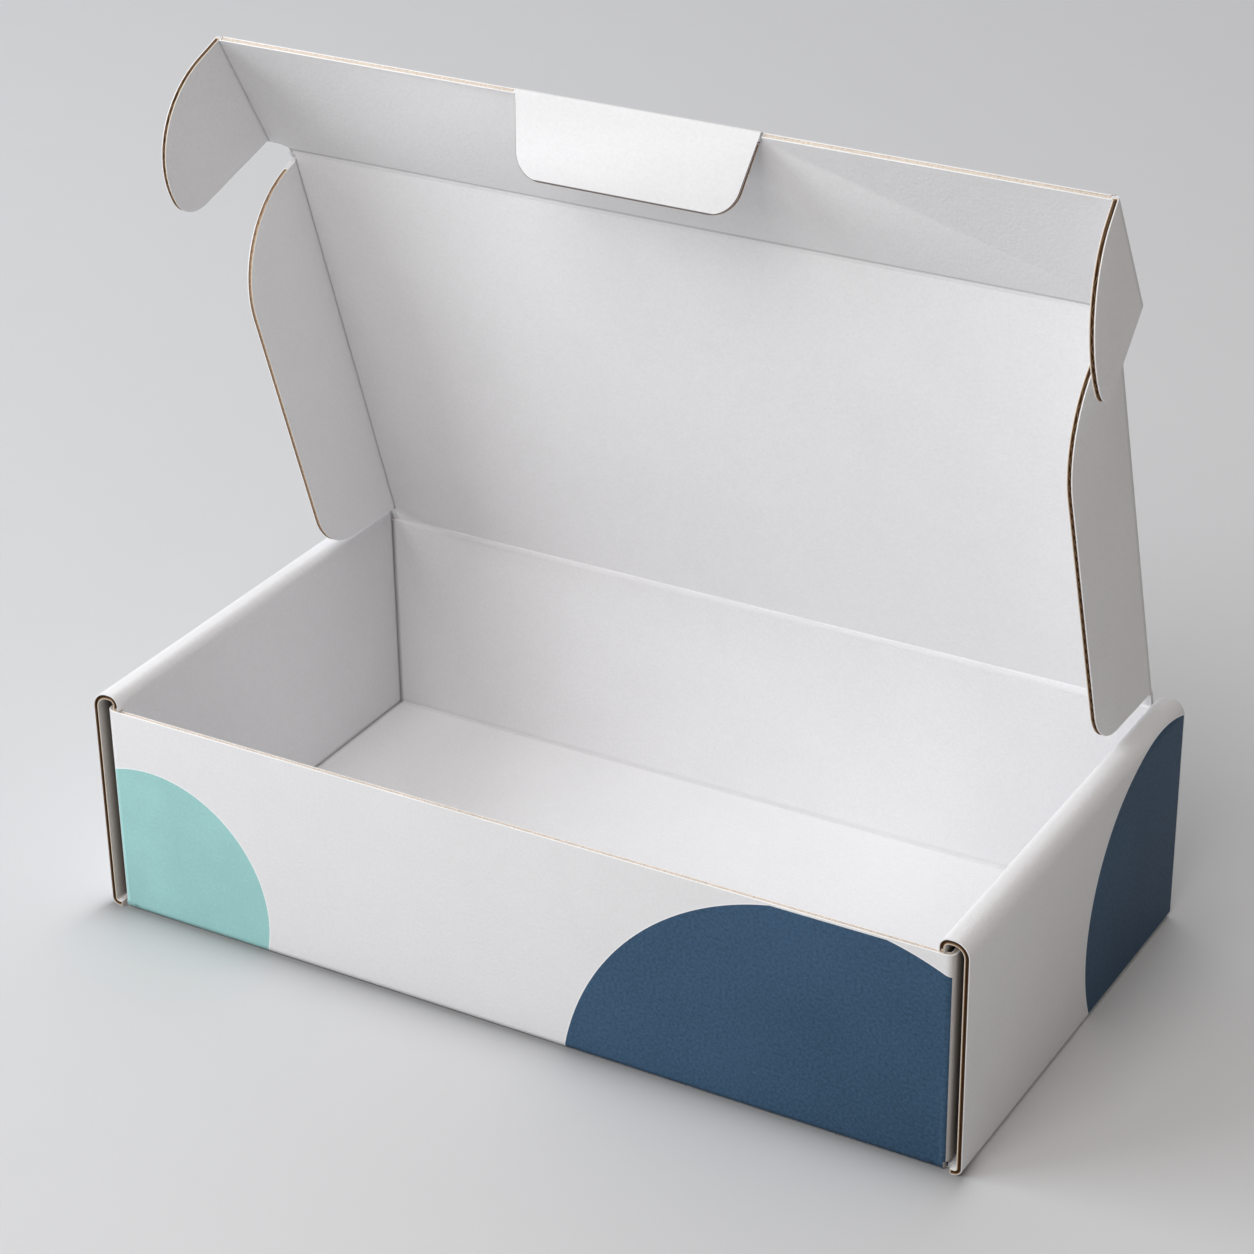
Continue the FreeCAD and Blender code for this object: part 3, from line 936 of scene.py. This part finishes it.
def flat_sheet(name, style=OPEN_CUT, fluted_from=None, cut_from=None):
    """The medium starts fluted_from deep in its groove, and the cut starts cut_from away from the fold."""
    work = whole_copy(name)
    if cut_from:
        part_edges(work, name, cut_from)
    cuts = flat_sheet_cuts(work, name)
    normal = inner_normal(name)
    middle = sheet_middle(name)
    points = rim_points(cuts, normal) if fluted_from else None
    cuts = bevel_rim(work, cuts, style)
    sink_core(work, cuts, style, lambda centre, outward: outward.dot(normal) > 0)
    if fluted_from:
        add_medium(work, points, normal, fold_lines(name)[0], middle, fluted_from)
    finish_sheet(name, work, white[name])


flat_sheet("lid")
flat_sheet("lock_tab", TAB_CUT, cut_from=1.9 * MM)
flat_sheet("side_flap_left", PALE_CUT, fluted_from=0.30 * MM)
flat_sheet("side_flap_right", fluted_from=0.30 * MM)
flat_sheet("ear_left", fluted_from=0.20 * MM)
flat_sheet("ear_right", fluted_from=0.30 * MM)

# %% [markdown]
# The tuck flap's free edge runs along the flutes, so it is a closed cut. Its other edges are folds and
# a short crushed neck, which show no core.

# %% Tuck flap
FREE_EDGE = 0.95        # least share of the sheet's own direction in the normal of its free edge


def tuck_cuts(work):
    up = inner_normal("tuck_flap").cross(Vector((1, 0, 0)))
    if up.z < 0:
        up.negate()
    lines = fold_lines("tuck_flap")
    return [f for f in work.faces
            if f.normal.dot(up) > FREE_EDGE and not on_fold(f.calc_center_median(), lines)]


tuck_work = whole_copy("tuck_flap")
tuck_edge = bevel_rim(tuck_work, tuck_cuts(tuck_work), CLOSED_CUT)
sink_core(tuck_work, tuck_edge, CLOSED_CUT)
finish_sheet("tuck_flap", tuck_work, white["tuck_flap"])

# %% [markdown]
# The tray is one folded sheet, so it has no single normal. Its cut faces are known by where they lie.
# The ends of the side walls and of their rolls are open cuts, and so are the lock tabs below. The tops
# of the front and rear panels run along the flutes and are closed cuts.

# %% Tray
WALL_END_Y = 65.0 * MM
WALL_END_X = 119.0 * MM
FRONT_TOP = 60.5 * MM
REAR_TOP = 61.19 * MM
LOCK_TAB_Z = 0.2 * MM
HERE = 0.05 * MM
CAVITY_X = 121.0 * MM
CAVITY_LOW = 5.0 * MM
CAVITY_HIGH = 60.0 * MM


def is_wall_cut(face):
    centre = face.calc_center_median()
    if abs(face.normal.y) > 0.99:
        return abs(abs(centre.y) - WALL_END_Y) < HERE and abs(centre.x) > WALL_END_X
    return face.normal.z < -0.99 and abs(centre.z - LOCK_TAB_Z) < HERE


def is_top_cut(face):
    height = face.calc_center_median().z
    return face.normal.z > 0.99 and (abs(height - FRONT_TOP) < HERE or abs(height - REAR_TOP) < HERE)


def towards_hollow(centre, outward):
    """True for the rim on the side of a wall's own hollow, where the inner liner is."""
    level = min(max(centre.z, CAVITY_LOW), CAVITY_HIGH)
    hollow = Vector((math.copysign(CAVITY_X, centre.x), centre.y, level))
    return outward.dot(hollow - centre) > 0


tray_work = whole_copy("tray")
wall_cuts = bevel_rim(tray_work, [f for f in tray_work.faces if is_wall_cut(f)], WALL_CUT)
sink_core(tray_work, wall_cuts, WALL_CUT, towards_hollow)
top_cuts = bevel_rim(tray_work, [f for f in tray_work.faces if is_top_cut(f)], CLOSED_CUT)
sink_core(tray_work, top_cuts, CLOSED_CUT)
finish_sheet("tray", tray_work, printed)

# %% [markdown]
# Across a fold the inner liner isn't broken. It is pushed into a soft bead, which catches the light
# along the hinge of the lid and along the crease of the tuck flap. Its height varies a little,
# because a crease in board never runs quite even.

# %% Creases
BEAD_STEPS = 8              # across each half of a bead
BEAD_RING = 2.0 * MM        # between the rings along it
BEAD_END = 22.0 * MM        # over this far it dies out at both ends
BEAD_SUNK = 0.35 * MM       # its underside, in the board
BEAD_EDGE = 0.03 * MM       # its edges, just under the liner
BEAD_UNEVEN = 0.3
BEAD_WAVES = 90             # for each metre
LID_BEAD_HALF = 116.0 * MM
LID_BEAD_PROUD = 0.34 * MM
TUCK_BEAD_HALF = 115.2 * MM
TUCK_BEAD_PROUD = 0.18 * MM


def crease_bead(child, sheets, half_length, proud):
    """For both sides of the fold, sheets gives body, which is not used, direction away from it, inner normal
    and width.
    """
    (body_a, away_a, normal_a, width_a), (body_b, away_b, normal_b, width_b) = sheets
    corner = crease_corner(child, normal_a, normal_b)
    rings = []
    count = round(2 * half_length / BEAD_RING)
    for i in range(count + 1):
        x = -half_length + 2 * half_length * i / count
        fade = min(1.0, (half_length - abs(x)) / BEAD_END)
        uneven = 1 - BEAD_UNEVEN / 2 + BEAD_UNEVEN * noise.noise(Vector((x * BEAD_WAVES, 0, 0)))
        over, under = [], []
        for k in range(-BEAD_STEPS, BEAD_STEPS + 1):
            t = k / BEAD_STEPS
            away, normal, width = (away_a, normal_a, width_a) if t < 0 else (away_b, normal_b, width_b)
            lean = (1 - abs(t)) / 2
            other = normal_b if t < 0 else normal_a
            facing = (normal * (1 - lean) + other * lean).normalized()
            base = corner + away * (abs(t) * width) + Vector((x, 0, 0))
            height = proud * fade * uneven * (1 - t * t) ** 2 - BEAD_EDGE
            over.append(base + facing * height)
            under.append(base - facing * BEAD_SUNK)
        rings.append(over + under[::-1])
    work = bmesh.new()
    close_tube(work, [[work.verts.new(p) for p in ring] for ring in rings], LINER_SLOT)
    piece = new_piece(child + "_crease", work, [white["crease"]])
    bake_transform(piece)


crease_bead("lid", (("tray", Vector((0, 0, -1)), Vector((0, -1, 0)), 2.2 * MM),
                    ("lid", away_from_fold("lid", "lid"), inner_normal("lid"), 0.9 * MM)),
            LID_BEAD_HALF, LID_BEAD_PROUD)
crease_bead("tuck_flap", (("lid", away_from_fold("lid", "tuck_flap"), inner_normal("lid"), 1.2 * MM),
                          ("tuck_flap", away_from_fold("tuck_flap", "tuck_flap"), inner_normal("tuck_flap"),
                           0.6 * MM)),
            TUCK_BEAD_HALF, TUCK_BEAD_PROUD)

# %% [markdown]
# The floor is one seamless pale sheet of painted board, a little cloudy so that it isn't a flat grey.
# Just in front of the box a shadow is painted on it, for the light of the room behind that the box keeps off.
# The painted shadow falls away with the distance from the rectangle that the box stands on.

# %% Floor
FLOOR_HALF = 3.0
FLOOR_GREY = (0.672, 0.675, 0.688)
FLOOR_GRAIN = 0.03
FLOOR_CLOUD = 0.02
FLOOR_ROUGHNESS = 0.7
FLOOR_BUMP = 0.1
FOOTPRINT = (0.1250, 0.0650, 1.0)      # half the box in X and Y, and more than any height
# painted shadow in front of the box
CONTACT_SHADE = 0.58
PAST_THE_ENDS = 3.0                    # how much faster the shade dies out past the box's ends
CONTACT_FADE = 6.5 * MM
SHADE_FROM_Y = (-0.0550, -0.0650)      # along the sides of the box the shade dies out


def painted_contact_shadow(tree, place):
    """Painted shadow: a tone that darkens towards the front of the box."""
    past = vectors(tree, "SUBTRACT", vectors(tree, "ABSOLUTE", place), FOOTPRINT)
    past = vectors(tree, "MAXIMUM", past, (0, 0, 0))
    past = vectors(tree, "MULTIPLY", past, (PAST_THE_ENDS, 1, 1))
    distance = vectors(tree, "LENGTH", past, result="Value")
    fade = sums(tree, "POWER", math.e, sums(tree, "MULTIPLY", distance, -1 / CONTACT_FADE))
    y = add(tree, "SeparateXYZ", {"Vector": place}).outputs["Y"]
    in_front = ramp(tree, y, *SHADE_FROM_Y, 0.0, CONTACT_SHADE)
    return sums(tree, "SUBTRACT", 1.0, sums(tree, "MULTIPLY", fade, in_front))


def floor_sheet():
    mesh = bpy.data.meshes.new("floor")
    h = FLOOR_HALF
    mesh.from_pydata([(-h, -h, 0), (h, -h, 0), (h, h, 0), (-h, h, 0)], [], [(0, 1, 2, 3)])
    floor = bpy.data.objects.new("floor", mesh)
    bpy.context.scene.collection.objects.link(floor)
    material, tree, surface, given = new_material("floor_grey")
    grain = use_grain(tree, given["Object"], FLOOR_GRAIN, FLOOR_CLOUD)
    tone = sums(tree, "MULTIPLY", grain["Tone"], painted_contact_shadow(tree, given["Object"]))
    paper_surface(tree, surface, grain["Height"], times(tree, FLOOR_GREY, tone), FLOOR_ROUGHNESS, FLOOR_BUMP)
    mesh.materials.append(material)
    return floor


floor_sheet()
print("floor", 2 * FLOOR_HALF, "m")
